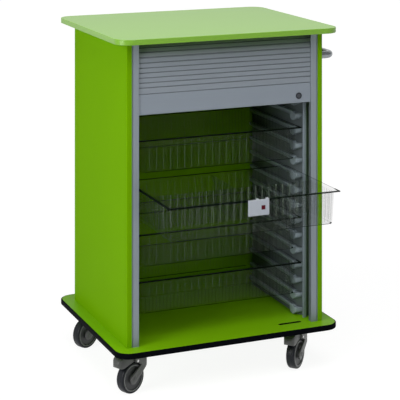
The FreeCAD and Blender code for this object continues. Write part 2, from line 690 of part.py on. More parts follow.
def fork_outline(y):
    """Side view of the fork: crown, leaning arm and round end about the axle."""
    def p(s, z):
        return V(-s, y, z)

    r = 14.5
    low = math.radians(227)
    high = math.radians(55)
    mid = math.radians(323)

    def on_end(a):
        return p(TRAIL + 4.5 + r * math.cos(a), WHEEL_R - 3 + r * math.sin(a))

    corners = [on_end(high), p(12, 88.4), p(24, 96), p(39, 102), p(39, 114), p(34, 120), p(34, FORK_TOP),
               p(-16, FORK_TOP), p(-18, FORK_TOP - 3), p(-18, 86), on_end(low)]
    edges = [Part.LineSegment(a, b).toShape() for a, b in zip(corners, corners[1:])]
    edges.append(Part.Arc(on_end(low), on_end(mid), on_end(high)).toShape())
    return Part.Face(Part.Wire(edges))


def castor_fork(braked):
    """Crown and two arms; hollow for the wheel, bored for the kingpin and the axle.

    A braked fork also has a pocket for the pedal's neck and a hole for its pin.
    """
    body = fork_outline(-FORK_OUT).extrude(V(0, 2 * FORK_OUT, 0))
    round_crown = slab(-100, 20, -FORK_OUT, FORK_OUT, 14.0, 0, FORK_TOP + 1)
    body = body.common(round_crown)
    room = rod(WHEEL_R + 3.0, V(-TRAIL, -FORK_IN, WHEEL_R), V(-TRAIL, FORK_IN, WHEEL_R))
    below = box(-TRAIL - 60, 12.0, -FORK_IN, FORK_IN, 0, 62.0)
    kingpin = rod(KINGPIN_R + RUNNING, V(0, 0, 112.0), V(0, 0, FORK_TOP + 1))
    axle = rod(AXLE_R + 0.05, V(-TRAIL, -30, WHEEL_R), V(-TRAIL, 30, WHEEL_R))
    body = body.cut(room).cut(below).cut(kingpin).cut(axle)
    if not braked:
        return body
    pocket = box(-60, -21, -FORK_IN, FORK_IN, 98, 125)
    pin = rod(2.55, V(-PEDAL_PIN_S, -30, PEDAL_PIN_Z), V(-PEDAL_PIN_S, 30, PEDAL_PIN_Z))
    return body.cut(pocket).cut(pin)


def castor_axle():
    """Bolt through the arms and the wheel, with a low round head at each end."""
    a = FORK_OUT
    shaft = rod(AXLE_R, V(-TRAIL, -a, WHEEL_R), V(-TRAIL, a, WHEEL_R))
    heads = [rod(6.0, V(-TRAIL, -a - 1.2, WHEEL_R), V(-TRAIL, -a, WHEEL_R)),
             rod(6.0, V(-TRAIL, a, WHEEL_R), V(-TRAIL, a + 1.2, WHEEL_R))]
    return fuse([shaft] + heads)


def turned(profile):
    """Solid of revolution about the axle from (radius, across) points."""
    points = [V(-TRAIL, b, WHEEL_R + r) for r, b in profile]
    wire = Part.makePolygon(points + [points[0]])
    return Part.Face(wire).revolve(V(-TRAIL, 0, WHEEL_R), ALONG_Y, 360)


def castor_tyre():
    """Rubber tread with rounded shoulders."""
    h = TREAD_HALF
    r = WHEEL_R
    return turned([(43.0, -h + 1), (45.5, -h), (r - 2.6, -h + 0.8), (r - 0.8, -h + 3), (r, -h + 7),
                   (r, h - 7), (r - 0.8, h - 3), (r - 2.6, h - 0.8), (45.5, h), (43.0, h - 1)])


def wheel_core():
    """Wheel centre: raised ring under the tyre, recessed web and hub."""
    h = TREAD_HALF
    bore = AXLE_R + RUNNING
    hub = FORK_IN - 0.4
    half = [(bore, hub), (13.0, hub), (15.0, h - 4), (37.5, h - 3.2), (38.5, h + 0.2), (42.5, h + 0.2),
            (43.0, h - 1)]
    return turned([(r, -b) for r, b in half] + list(reversed(half)))


def brake_pedal():
    """Hollow foot lever with a blunt round tip; its neck and brake shoe sit between the fork's arms."""
    w = PEDAL_HALF

    def p(s, z, y=-w):
        return V(-s, y, z)

    tip = PEDAL_REACH
    side_view = [Part.LineSegment(p(43, 129.5), p(tip - 26, 127)).toShape(),
                 Part.Arc(p(tip - 26, 127), p(tip - 8, 120), p(tip, 107)).toShape(),
                 Part.Arc(p(tip, 107), p(tip - 3.5, 97.5), p(tip - 14, 93)).toShape(),
                 Part.LineSegment(p(tip - 14, 93), p(tip - 24, 92.5)).toShape(),
                 Part.LineSegment(p(tip - 24, 92.5), p(64, 99.5)).toShape(),
                 Part.LineSegment(p(64, 99.5), p(43, 104.5)).toShape(),
                 Part.LineSegment(p(43, 104.5), p(43, 129.5)).toShape()]
    paddle = Part.Face(Part.Wire(side_view)).extrude(V(0, 2 * w, 0))
    paddle = paddle.common(slab(-tip, -20, -w, w, 16.0, 90, 140))
    paddle = paddle.cut(box(-tip + 14, -46, -w + 3, w - 3, 90, 118))
    n = FORK_IN - 0.8
    neck = prism([p(23, 101, -n), p(26, 99.2, -n), p(31, 99.6, -n), p(36, 101.8, -n), p(43, 102.2, -n),
                  p(46, 110, -n), p(46, 122, -n), p(27, 119, -n), p(23, 112, -n)], V(0, 2 * n, 0))
    hole = rod(2.5 + RUNNING, V(-PEDAL_PIN_S, -w - 1, PEDAL_PIN_Z), V(-PEDAL_PIN_S, w + 1, PEDAL_PIN_Z))
    return fuse([paddle, neck]).cut(hole)


def pedal_pin():
    """Bright pin across the fork's arms, with a low head on each."""
    w = FORK_OUT
    s = PEDAL_PIN_S
    z = PEDAL_PIN_Z
    shaft = rod(2.5, V(-s, -w, z), V(-s, w, z))
    heads = [rod(4.0, V(-s, -w - 1.5, z), V(-s, -w, z)), rod(4.0, V(-s, w, z), V(-s, w + 1.5, z))]
    return fuse([shaft] + heads)


# ---------------------------------------------------------------- write the nodes
def main():
    os.makedirs("parts", exist_ok=True)
    save("top_panel", top_panel())
    save("base_panel", base_panel())
    save("base_bumper", base_bumper())
    save("inner_back_panel", inner_back_panel())
    save("back_panel", back_panel())
    save("panel_dowels", [dowel(p, 4.0) for p in dowel_places()])
    for side, name in ((-1, "left"), (1, "right")):
        save("side_panel_" + name, side_panel(side))
        save("guide_profile_" + name, guide_profile(side))
        save("curtain_track_" + name, curtain_track(side))
        save("tray_rack_" + name, rack(side))
        save("rack_ledges_" + name, ledges(side))
    save("stored_slats", stored_slats())
    save("shutter_slats", shutter_slats())
    save("shutter_feed", shutter_feed())
    save("shutter_rail", shutter_rail())
    save("lock_barrel", lock_barrel())
    save("lock_plug", lock_plug())
    save("lock_bolt", lock_bolt())
    for number in range(1, len(TRAY_LEDGES) + 1):
        save("tray_%d" % number, tray(number))
    save("cross_divider", cross_divider())
    save("length_divider", length_divider())
    save("label_holder", label_holder())
    save("label_card", label_card())
    save("push_handle", push_handle())
    save("handle_screws", handle_screws())
    save("castor_screws", castor_screws())
    for name, (x, y) in castor_places().items():
        braked = name.startswith("front")
        turn = CASTOR_TURNS[name]
        save("castor_plate_" + name, castor_plate(x, y))
        save("castor_fork_" + name, place_castor(castor_fork(braked), x, y, turn))
        save("castor_axle_" + name, place_castor(castor_axle(), x, y, turn))
        save("wheel_core_" + name, place_castor(wheel_core(), x, y, turn))
        save("tyre_" + name, place_castor(castor_tyre(), x, y, turn))
        if braked:
            save("brake_pedal_" + name, place_castor(brake_pedal(), x, y, turn))
            save("pedal_pin_" + name, place_castor(pedal_pin(), x, y, turn))


main()
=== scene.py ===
import math
import bmesh
import bpy
import numpy as np
from mathutils import Matrix, Vector
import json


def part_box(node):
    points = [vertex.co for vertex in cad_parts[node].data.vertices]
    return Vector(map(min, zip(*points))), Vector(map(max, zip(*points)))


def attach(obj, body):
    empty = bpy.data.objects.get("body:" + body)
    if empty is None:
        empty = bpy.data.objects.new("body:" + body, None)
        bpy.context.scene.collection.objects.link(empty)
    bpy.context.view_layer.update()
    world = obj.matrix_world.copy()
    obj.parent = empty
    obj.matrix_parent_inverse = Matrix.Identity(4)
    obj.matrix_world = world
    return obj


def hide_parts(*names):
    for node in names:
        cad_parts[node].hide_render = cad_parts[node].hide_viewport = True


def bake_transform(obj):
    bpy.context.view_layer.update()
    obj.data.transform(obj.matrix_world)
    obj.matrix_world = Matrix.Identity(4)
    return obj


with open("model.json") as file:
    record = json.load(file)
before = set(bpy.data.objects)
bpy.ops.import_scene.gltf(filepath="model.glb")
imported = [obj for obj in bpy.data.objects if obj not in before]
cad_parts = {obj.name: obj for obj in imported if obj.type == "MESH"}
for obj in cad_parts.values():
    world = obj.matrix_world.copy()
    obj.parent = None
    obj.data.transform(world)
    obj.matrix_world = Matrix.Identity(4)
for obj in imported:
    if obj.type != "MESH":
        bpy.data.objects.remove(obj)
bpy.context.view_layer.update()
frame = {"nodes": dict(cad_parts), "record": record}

scene = bpy.context.scene

# ---------------------------------------------------------------- camera
# A level camera to the left of the front, above the worktop.  Its image plane is sheared
# downwards, as a shift lens does it, so that the cabinet's uprights stay parallel.
IMAGE_SIDE = 400.0                  # pixels
FOCAL = 1481.7                      # pixels
DROP = 372.4                        # pixels from the horizon down to the image's middle
SENSOR = 36.0                       # mm
EYE = (-1.9872, -4.6602, 1.8270)
HEADING = -22.824                   # degrees, to the right of straight in

stand = Matrix.Translation(EYE) @ Matrix.Rotation(math.radians(HEADING), 4, "Z")
level_view = stand @ Matrix.Rotation(math.radians(90), 4, "X")
shear = Matrix(((1, 0, 0, 0), (0, 1, DROP / FOCAL, 0), (0, 0, 1, 0), (0, 0, 0, 1)))
camera = bpy.data.objects.new("camera", bpy.data.cameras.new("camera"))
tripod = bpy.data.objects.new("tripod", None)
scene.collection.objects.link(camera)
scene.collection.objects.link(tripod)
camera.data.sensor_width = SENSOR
camera.data.lens = FOCAL * math.hypot(1.0, DROP / FOCAL) * SENSOR / IMAGE_SIDE
camera.data.clip_end = 100.0
camera.parent = tripod
camera.matrix_basis = level_view
camera.matrix_parent_inverse = level_view @ shear @ level_view.inverted()
scene.camera = camera
scene.view_settings.view_transform = "Standard"

# ---------------------------------------------------------------- lamps
# Soft lamps: a large one overhead, a key from the left and a weaker one high in front.  Each
# is a rectangle of light turned to the cabinet.


def lamp(name, size, power, place, aim_height):
    """Rectangular soft lamp at a place, turned to a height on the cabinet's middle line."""
    light = bpy.data.lights.new(name, "AREA")
    light.shape = "RECTANGLE"
    light.size, light.size_y = size
    light.energy = power
    obj = bpy.data.objects.new(name, light)
    scene.collection.objects.link(obj)
    away = Vector(place) - Vector((0.0, 0.0, aim_height))
    obj.matrix_world = Matrix.Translation(place) @ away.to_track_quat("Z", "Y").to_matrix().to_4x4()


lamp("overhead", (3.0, 3.0), 89.0, (-0.4, -0.9, 3.8), 0.6)
lamp("key_left", (1.6, 2.2), 79.0, (-3.4, -1.2, 1.8), 0.6)
lamp("front_high", (2.2, 1.2), 28.0, (0.6, -3.2, 3.4), 0.7)

# ---------------------------------------------------------------- world
# The world is white to the eye and through clear things.  In reflections it is white behind
# the cabinet and dim in front, like a backdrop and a dark room.
WORLD_LIGHT = 0.084
DIM_FRONT = 0.25
BACKDROP_EDGE = (-0.3, 0.5)         # where, front to back in a direction, the dim turns white


def combine(tree, operation, first, second):
    """Result of a math node on two inputs, each of them a socket or a number."""
    node = tree.nodes.new("ShaderNodeMath")
    node.operation = operation
    for end, value in zip(node.inputs, (first, second)):
        if isinstance(value, float):
            end.default_value = value
        else:
            tree.links.new(value, end)
    return node.outputs[0]


def ramp(tree, source, start, end, low=0.0, high=1.0):
    """Socket that goes evenly from low to high while the source goes from start to end."""
    node = tree.nodes.new("ShaderNodeMapRange")
    for key, value in (("From Min", start), ("From Max", end), ("To Min", low), ("To Max", high)):
        node.inputs[key].default_value = value
    tree.links.new(source, node.inputs["Value"])
    return node.outputs["Result"]


def seen_white(tree):
    """Light Path's outputs, and the socket that is 1 for the eye and through clear things."""
    rays = tree.nodes.new("ShaderNodeLightPath").outputs
    return rays, combine(tree, "MAXIMUM", rays["Is Camera Ray"], rays["Is Transmission Ray"])


world = bpy.data.worlds.new("studio")
scene.world = world
world.use_nodes = True
sky = world.node_tree
direction = sky.nodes.new("ShaderNodeTexCoord")
parts = sky.nodes.new("ShaderNodeSeparateXYZ")
sky.links.new(direction.outputs["Generated"], parts.inputs[0])
rays, strength = seen_white(sky)
backdrop = ramp(sky, parts.outputs["Y"], *BACKDROP_EDGE, DIM_FRONT, 1.0)
mirrored = combine(sky, "MULTIPLY", backdrop, rays["Is Glossy Ray"])
strength = combine(sky, "MAXIMUM", combine(sky, "MAXIMUM", strength, mirrored), WORLD_LIGHT)
sky.nodes["Background"].inputs["Color"].default_value = (1, 1, 1, 1)
sky.links.new(strength, sky.nodes["Background"].inputs["Strength"])

# ---------------------------------------------------------------- floor
# A wide white sweep.  The eye and reflections see three parts of an even white glow and one
# part of matt paint, which keeps the cabinet's shadow.
FLOOR_HALF = 60.0
GLOW_SHARE = 0.75
GLOW_REACH = (1.2, 5.0)
GLOW_STRENGTH = (1.22, 1.33)
MATT_WHITE = (0.72, 0.72, 0.72, 1)

floor_mesh = bpy.data.meshes.new("floor")
corners = [(x * FLOOR_HALF, y * FLOOR_HALF, 0.0) for x, y in ((-1, -1), (1, -1), (1, 1), (-1, 1))]
floor_mesh.from_pydata(corners, [], [(0, 1, 2, 3)])
floor = bpy.data.objects.new("floor", floor_mesh)
scene.collection.objects.link(floor)
floor_paint = bpy.data.materials.new("floor_paint")
floor_paint.use_nodes = True
sweep = floor_paint.node_tree
sweep.nodes.clear()
matt = sweep.nodes.new("ShaderNodeBsdfDiffuse")
matt.inputs["Color"].default_value = MATT_WHITE
place = sweep.nodes.new("ShaderNodeTexCoord")
distance = sweep.nodes.new("ShaderNodeVectorMath")
distance.operation = "LENGTH"
sweep.links.new(place.outputs["Object"], distance.inputs[0])
glow = sweep.nodes.new("ShaderNodeEmission")
lift = ramp(sweep, distance.outputs["Value"], *GLOW_REACH, *GLOW_STRENGTH)
sweep.links.new(lift, glow.inputs["Strength"])
rays, seen = seen_white(sweep)
seen = combine(sweep, "MAXIMUM", seen, rays["Is Glossy Ray"])
mixed = sweep.nodes.new("ShaderNodeMixShader")
sweep.links.new(combine(sweep, "MULTIPLY", seen, GLOW_SHARE), mixed.inputs["Fac"])
sweep.links.new(matt.outputs[0], mixed.inputs[1])
sweep.links.new(glow.outputs[0], mixed.inputs[2])
surface = sweep.nodes.new("ShaderNodeOutputMaterial")
sweep.links.new(mixed.outputs[0], surface.inputs["Surface"])
floor_mesh.materials.append(floor_paint)

# ---------------------------------------------------------------- boards
# Chipboard faced with a bright green melamine: side panels, base panel, both back panels.  They
# are dowelled together.  The facing has a fine pearl grain and a satin, slightly uneven gloss.
GREEN = (0.168, 0.395, 0.0008)
BASE_LIGHT_LIFT = 1.05                    # the base panel's green is painted a little lighter, for the light it takes from above
GRAIN_DEPTH = 0.0004


def finish(name, colour, spread=0.05, rough=0.45, rough_spread=0.06, grain=900.0, bump=0.05,
           cloud=6.0, stretch=(1, 1, 1), **sockets):
    """Finish with a slow drift of its colour, and a fine grain in its gloss and its bump.

    colour is linear, and drifts up and down by the share spread.  grain and cloud are the
    noises' scales per metre, stretch scales the space they are laid in, and sockets are
    constants of the shader.
    """
    material = bpy.data.materials.new(name)
    material.use_nodes = True
    tree = material.node_tree
    shader = tree.nodes["Principled BSDF"]
    for key, value in sockets.items():
        shader.inputs[key.replace("_", " ")].default_value = value
    coords = tree.nodes.new("ShaderNodeTexCoord")
    laid = tree.nodes.new("ShaderNodeMapping")
    laid.inputs["Scale"].default_value = stretch
    drift = tree.nodes.new("ShaderNodeTexNoise")
    drift.inputs["Scale"].default_value = cloud
    drift.inputs["Detail"].default_value = 3.0
    fine = tree.nodes.new("ShaderNodeTexNoise")
    fine.inputs["Scale"].default_value = grain
    fine.inputs["Detail"].default_value = 2.0
    tint = tree.nodes.new("ShaderNodeMix")
    tint.data_type = "RGBA"
    tint.inputs["A"].default_value = (*[c * (1 - spread) for c in colour], 1)
    tint.inputs["B"].default_value = (*[min(1.0, c * (1 + spread)) for c in colour], 1)
    relief = tree.nodes.new("ShaderNodeBump")
    relief.inputs["Strength"].default_value = bump
    relief.inputs["Distance"].default_value = GRAIN_DEPTH
    gloss = ramp(tree, fine.outputs["Fac"], 0.0, 1.0, rough - rough_spread, rough + rough_spread)
    for source, end in ((coords.outputs["Object"], laid.inputs["Vector"]),
                        (laid.outputs[0], drift.inputs["Vector"]),
                        (laid.outputs[0], fine.inputs["Vector"]),
                        (drift.outputs["Fac"], tint.inputs["Factor"]),
                        (tint.outputs["Result"], shader.inputs["Base Color"]),
                        (gloss, shader.inputs["Roughness"]),
                        (fine.outputs["Fac"], relief.inputs["Height"]),
                        (relief.outputs["Normal"], shader.inputs["Normal"])):
        tree.links.new(source, end)
    return material


def dress(material, *nodes):
    """Give carried-over nodes a finish."""
    for name in nodes:
        for place in frame["nodes"][name].material_slots:
            place.material = material


melamine = finish("green_melamine", GREEN, spread=0.03, rough=0.60, grain=700.0, bump=0.12,
                  Specular_IOR_Level=0.014)
# The base panel takes a lighter copy of the green: painted light, for the light the level panel
# takes from above.
satin = finish("green_satin_painted_lighter", [BASE_LIGHT_LIFT * c for c in GREEN], spread=0.03, rough=0.50, grain=700.0,
               bump=0.12, Specular_IOR_Level=0.13)
dress(melamine, "side_panel_left", "side_panel_right", "inner_back_panel", "back_panel")
dress(satin, "base_panel")

# ---------------------------------------------------------------- worktop
# The same green in a pressed laminate, which is glossier and mirrors the room at a low angle.
# It lies on the side panels and is dowelled to them.
laminate = finish("green_laminate", GREEN, spread=0.03, rough=0.34, grain=420.0, bump=0.10, IOR=1.7)
dress(laminate, "top_panel")

# ---------------------------------------------------------------- dowels
# Beech dowels, turned and fluted, glued into the boards' joints.  They don't show once the
# cabinet is put together.
beech = finish("beech", (0.50, 0.33, 0.16), spread=0.2, rough=0.6, grain=300.0, cloud=40.0,
               stretch=(6, 6, 0.6))
dress(beech, "panel_dowels")

# ---------------------------------------------------------------- bumper band
# Soft black plastic band with a faint sheen, pressed on all round the base panel's edge to take
# the knocks.
band_black_and_slot_shade = finish("black_band", (0.003, 0.0035, 0.005), spread=0.25, rough=0.55, grain=1200.0,
                    bump=0.25, cloud=25.0, Specular_IOR_Level=0.008)
dress(band_black_and_slot_shade, "base_bumper")

# ---------------------------------------------------------------- guide profiles
# Extruded aluminium channels, anodised silver grey, screwed upright inside the side panels.
# Their drawn surface has long faint lines.
anodised = finish("anodised", (0.26, 0.30, 0.335), spread=0.05, rough=0.42, grain=500.0, bump=0.10,
                  cloud=60.0, stretch=(1, 1, 0.02), Metallic=0.25)
dress(anodised, "guide_profile_left", "guide_profile_right")

# ---------------------------------------------------------------- curtain tracks
# Curved tracks that carry the curtain on from the guide profiles, under the worktop and down
# behind the trays.  They are moulded in dark grey and screwed to the side panels.
track_grey = finish("track_grey", (0.07, 0.075, 0.08), rough=0.5, bump=0.1)
dress(track_grey, "curtain_track_left", "curtain_track_right")

# ---------------------------------------------------------------- roller shutter
# Hollow slats of extruded grey plastic.  The tongue on top of each slat sits in the groove under
# the next one, so the curtain bends round the guides.  Its rolled-away part rests in the tracks.
SLAT_SECTION = 0.001 * np.array((
    (-1.6, -7.4), (-3.2, -7.3), (-4.0, -6.3), (-4.0, 6.3), (-3.2, 7.3), (-1.6, 7.4),
    (-0.9, 7.4), (-0.9, 8.9), (0.9, 8.9), (0.9, 6.8), (3.2, 6.8), (4.0, 6.0),
    (4.0, -6.0), (3.2, -6.8), (1.5, -6.8), (1.5, -5.0), (-1.5, -5.0), (-1.5, -7.7)))
SHADED_JOINT_SIDES = (0, 1, 4, 5)          # sides of the section beside the joints in front, painted darker: painted shade
SLAT_PITCH = 0.01606
SLAT_HALF_THICK = 0.004
SLAT_HALF_TALL = 0.0077
BEND_RADIUS = 0.054
STORED = 46
HANGING = 6
SHARP_EDGE = math.radians(35)


def skin(name, grids, materials, body, replaces=(), loop=False, paints=None):
    """Piece made of closed skins, each a grid of rings x points x (x, y, z).

    Point j of ring i is joined by a quad to point j + 1 and to ring i + 1; points run round, and
    so do the rings of a loop.  Otherwise a face closes the first and the last ring.  paints gives
    each quad's material as a number for each ring step and point.
    """
    points, faces, numbers, base = [], [], [], 0
    for grid in grids:
        rings, around = grid.shape[:2]
        steps = np.arange(rings if loop else rings - 1)
        i, j = np.meshgrid(steps, np.arange(around), indexing="ij")
        here, above = i * around, (i + 1) % rings * around
        beside = (j + 1) % around
        quads = np.stack((here + j, here + beside, above + beside, above + j), -1)
        faces += (quads.reshape(-1, 4) + base).tolist()
        numbers += [0] * i.size if paints is None else paints.reshape(-1).tolist()
        if not loop:
            faces += [list(range(first, first + around)) for first in (base, base + i.size)]
            numbers += [0, 0]
        points.append(grid.reshape(-1, 3))
        base += rings * around
    mesh = bpy.data.meshes.new(name)
    mesh.from_pydata(np.concatenate(points).tolist(), [], faces)
    mesh.polygons.foreach_set("material_index", numbers)
    work = bmesh.new()
    work.from_mesh(mesh)
    bmesh.ops.recalc_face_normals(work, faces=work.faces)
    work.to_mesh(mesh)
    work.free()
    mesh.shade_smooth()
    mesh.set_sharp_from_angle(angle=SHARP_EDGE)
    for material in materials:
        mesh.materials.append(material)
    obj = bpy.data.objects.new(name, mesh)
    scene.collection.objects.link(obj)
    if body:
        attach(obj, body)
    if replaces:
        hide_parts(*replaces)
    return obj


def slat(y, z, turn=0.0, taller=0.0, shorter=0.0):
    """Two rings of a slat: its section turned about X, y' = y cos + z sin and z' = z cos - y sin.

    taller moves its upper and lower halves apart, shorter is taken off at each end.
    """
    across = SLAT_SECTION[:, 0]
    along = SLAT_SECTION[:, 1] + np.sign(SLAT_SECTION[:, 1]) * taller / 2
    ring = np.empty((2, len(across), 3))
    ring[:, :, 0] = middle_x + np.array((-1, 1))[:, None] * (slat_half - shorter)
    ring[:, :, 1] = y + across * math.cos(turn) + along * math.sin(turn)
    ring[:, :, 2] = z + along * math.cos(turn) - across * math.sin(turn)
    return ring


hanging_low, hanging_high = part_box("shutter_slats")
stored_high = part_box("stored_slats")[1]
rail_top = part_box("shutter_rail")[1][2]
middle_x = (hanging_low[0] + hanging_high[0]) / 2
slat_half = (hanging_high[0] - hanging_low[0]) / 2
curtain_y = (hanging_low[1] + hanging_high[1]) / 2
rear_y = stored_high[1] - SLAT_HALF_THICK
run_z = stored_high[2] - SLAT_HALF_THICK
bend_z = run_z - BEND_RADIUS
hanging_top = hanging_high[2] + SLAT_PITCH / 2 - SLAT_HALF_TALL


def stored_slat(number):
    """Slat on the curtain's line: up to the bend, a quarter turn, level back, another turn, down."""
    arc = BEND_RADIUS * math.pi / 2
    run = (rear_y - BEND_RADIUS) - (curtain_y + BEND_RADIUS)
    s = (number + 0.5) * SLAT_PITCH - (bend_z - hanging_top)
    first = min(max(s, 0.0), arc) / BEND_RADIUS
    second = min(max(s - arc - run, 0.0), arc) / BEND_RADIUS
    level = min(max(s - arc, 0.0), run)
    down = max(s - 2 * arc - run, 0.0)
    y = curtain_y + BEND_RADIUS * (1 - math.cos(first)) + level + BEND_RADIUS * math.sin(second)
    z = bend_z + min(s, 0.0) + BEND_RADIUS * (math.sin(first) - 1 + math.cos(second)) - down
    return slat(y, z, first + second)


slat_grey = finish("slat_grey", (0.260, 0.294, 0.335), spread=0.04, rough=0.42, grain=600.0,
                   bump=0.08, cloud=30.0, stretch=(0.02, 1, 1))
# The sides beside each joint take a darker grey: painted shade, where the joints' chamfers turn away
# from the light.
groove_painted_shade = finish("groove_painted_shade", (0.075, 0.09, 0.105), spread=0.10, rough=0.55, grain=600.0,
                     bump=0.08, cloud=30.0, stretch=(0.02, 1, 1))
SLAT_FINISHES = (slat_grey, groove_painted_shade)
SLAT_JOINT_SHADE = np.isin(np.arange(len(SLAT_SECTION)), SHADED_JOINT_SIDES).astype(int)
skin("curtain_stored", [stored_slat(i) for i in range(STORED)], SLAT_FINISHES, "cabinet",
     replaces=("stored_slats",), paints=SLAT_JOINT_SHADE)

# The lowest slat is taller, and fills what is left between the others and the rail.
LAST_GAP = 0.0004
taller = hanging_top - HANGING * SLAT_PITCH - rail_top
hanging = [slat(curtain_y, hanging_top - (i + 0.5) * SLAT_PITCH) for i in range(HANGING - 1)]
hanging.append(slat(curtain_y, rail_top + (SLAT_PITCH + taller) / 2, taller=taller - LAST_GAP))
skin("curtain_hanging", hanging, SLAT_FINISHES, "shutter",
     replaces=("shutter_slats",), paints=SLAT_JOINT_SHADE)

# ---------------------------------------------------------------- shutter feed
# The slats that come round the bend when the shutter is pulled down.  At rest they are gathered
# inside the top hanging slat, and the curtain between the bend and that slat draws them out.
FEED = 15
TRAVEL = 0.235
GATHERED = 0.012
FEED_SHORTER = 0.002
FEED_THINNER = 0.7
feed_top = hanging_top - 0.001
feed_pitch = TRAVEL / FEED
fed = [slat(curtain_y, feed_top - (i + 0.5) * feed_pitch, shorter=FEED_SHORTER) for i in range(FEED)]
feed = skin("curtain_feed", fed, SLAT_FINISHES, None, replaces=("shutter_feed",),
            paints=SLAT_JOINT_SHADE)
# A point at the share t of the gathered height is drawn out by GATHERED t + TRAVEL t t (3 - 2 t)
# when the shutter is down.  The slats are made drawn out, and gathered by the inverse.
spots = np.empty(len(feed.data.vertices) * 3)
feed.data.vertices.foreach_get("co", spots)
spots = spots.reshape(-1, 3)
share = np.linspace(0.0, 1.0, 400)
drawn_out = GATHERED * share + TRAVEL * share ** 2 * (3 - 2 * share)
spots[:, 2] = feed_top - GATHERED * np.interp(feed_top - spots[:, 2], drawn_out, share)
spots[:, 1] = curtain_y + FEED_THINNER * (spots[:, 1] - curtain_y)
feed.data.vertices.foreach_set("co", spots.reshape(-1))
feed.data.update()
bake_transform(feed)

# ---------------------------------------------------------------- end rail
# Hollow aluminium extrusion that ends the curtain, anodised a shade bluer than the slats.  The
# lowest slat hooks into it, and it carries the lock.
rail_silver = finish("rail_silver", (0.257, 0.295, 0.342), spread=0.04, rough=0.40, grain=500.0,
                     bump=0.08, cloud=40.0, stretch=(0.02, 1, 1), Metallic=0.25)
dress(rail_silver, "shutter_rail")

# ---------------------------------------------------------------- slot cup
# Cup let into the base panel, in which the bolt's two legs land.  It is black as painted shade,
# for the shade down in the slot.  Its thin flange lies on the board's face.
SLOT_CENTRE = (0.2325, -0.1664)
SLOT_HALF = (0.0399, 0.0039)
CUP = ((0.0, -14.2), (0.0, 0.05), (-2.6, 0.05), (-2.3, 0.5), (0.3, 0.5), (0.6, 0.2), (0.6, -13.6))


def slot_ring(inset, z):
    """Level stadium: two half circles of the slot's half width, set apart along X."""
    a = np.linspace(-math.pi / 2, math.pi / 2, 9)
    r = SLOT_HALF[1] - inset
    reach = SLOT_HALF[0] - SLOT_HALF[1]
    x = np.concatenate((reach + r * np.cos(a), -reach - r * np.cos(a)))
    y = np.concatenate((r * np.sin(a), -r * np.sin(a)))
    return np.column_stack((SLOT_CENTRE[0] + x, SLOT_CENTRE[1] + y, np.full(len(x), z)))


board_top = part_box("base_panel")[1][2]
cup = np.stack([slot_ring(0.001 * inset, board_top + 0.001 * rise) for inset, rise in CUP])
skin("slot_shade_cup", [cup], (band_black_and_slot_shade,), "cabinet")

# ---------------------------------------------------------------- lock and hidden steel
# Cam lock with a dark plated flange, set into the rail.  Its bolt, the screws and the castors'
# plates are pressed steel, plated with zinc.
lock_chrome = finish("lock_chrome", (0.022, 0.026, 0.034), rough=0.30, bump=0.05, Metallic=0.5)
lock_face = finish("lock_face", (0.06, 0.066, 0.078), rough=0.30, bump=0.05, Metallic=0.5)
dress(lock_chrome, "lock_barrel")
dress(lock_face, "lock_plug")
zinc = finish("zinc_steel", (0.38, 0.38, 0.39), spread=0.1, rough=0.38, grain=300.0, bump=0.05,
              Metallic=0.9)
dress(zinc, "lock_bolt", "handle_screws", "castor_screws", "castor_plate_front_left",
      "castor_plate_front_right", "castor_plate_rear_left", "castor_plate_rear_right")

# ---------------------------------------------------------------- tray racks
# Moulded grey racks with a ledge every 51 mm, screwed to the side panels.  Each ledge begins in a
# deep round-cornered stop, and a rib stands in front of them.  The rib and the ledges are painted
# lighter than the wall: painted light on them, and painted shade on the wall between the ledges.
RIB_DEPTH = 0.010
rack_painted_shade = finish("rack_painted_shade", (0.115, 0.14, 0.145), spread=0.08, rough=0.42, grain=500.0,
                   bump=0.12, cloud=20.0)
rib_painted_light = finish("rib_painted_light", (0.29, 0.34, 0.40), spread=0.06, rough=0.42, grain=500.0,
                  bump=0.12, cloud=20.0)
ledge_painted_light = finish("ledge_painted_light", (0.27, 0.33, 0.36), spread=0.08, rough=0.40, grain=500.0,
                    bump=0.12, cloud=20.0)


def eased(name, node, material, body, width=0.0009):
    """Copy of a node with its facets merged and its edges rounded, which stands for the node."""
    work = bmesh.new()
    work.from_mesh(frame["nodes"][node].data)
    bmesh.ops.remove_doubles(work, verts=work.verts, dist=1e-6)
    bmesh.ops.dissolve_limit(work, angle_limit=math.radians(1.0), verts=work.verts, edges=work.edges)
    mesh = bpy.data.meshes.new(name)
    work.to_mesh(mesh)
    work.free()
    mesh.materials.clear()
    mesh.materials.append(material)
    mesh.shade_smooth()
    obj = bpy.data.objects.new(name, mesh)
    scene.collection.objects.link(obj)
    rounded = obj.modifiers.new("round_off", "BEVEL")
    rounded.limit_method = "ANGLE"
    rounded.angle_limit = math.radians(38)
    rounded.width = width
    rounded.segments = 2
    rounded.harden_normals = True
    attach(obj, body)
    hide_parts(node)
    return obj


rib_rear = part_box("tray_rack_left")[0][1] + RIB_DEPTH
for side in ("left", "right"):
    wall = eased("rack_wall_" + side, "tray_rack_" + side, rack_painted_shade, "cabinet",
                 0.0007)
    # The rib's faces, in front of its rear, take the paler grey: painted light.
    wall.data.materials.append(rib_painted_light)
    centres = np.empty(3 * len(wall.data.polygons), np.float32)
    wall.data.polygons.foreach_get("center", centres)
    wall.data.polygons.foreach_set("material_index", (centres[1::3] < rib_rear).astype(np.int32))
    eased("runners_" + side, "rack_ledges_" + side, ledge_painted_light, "cabinet", 0.0016)

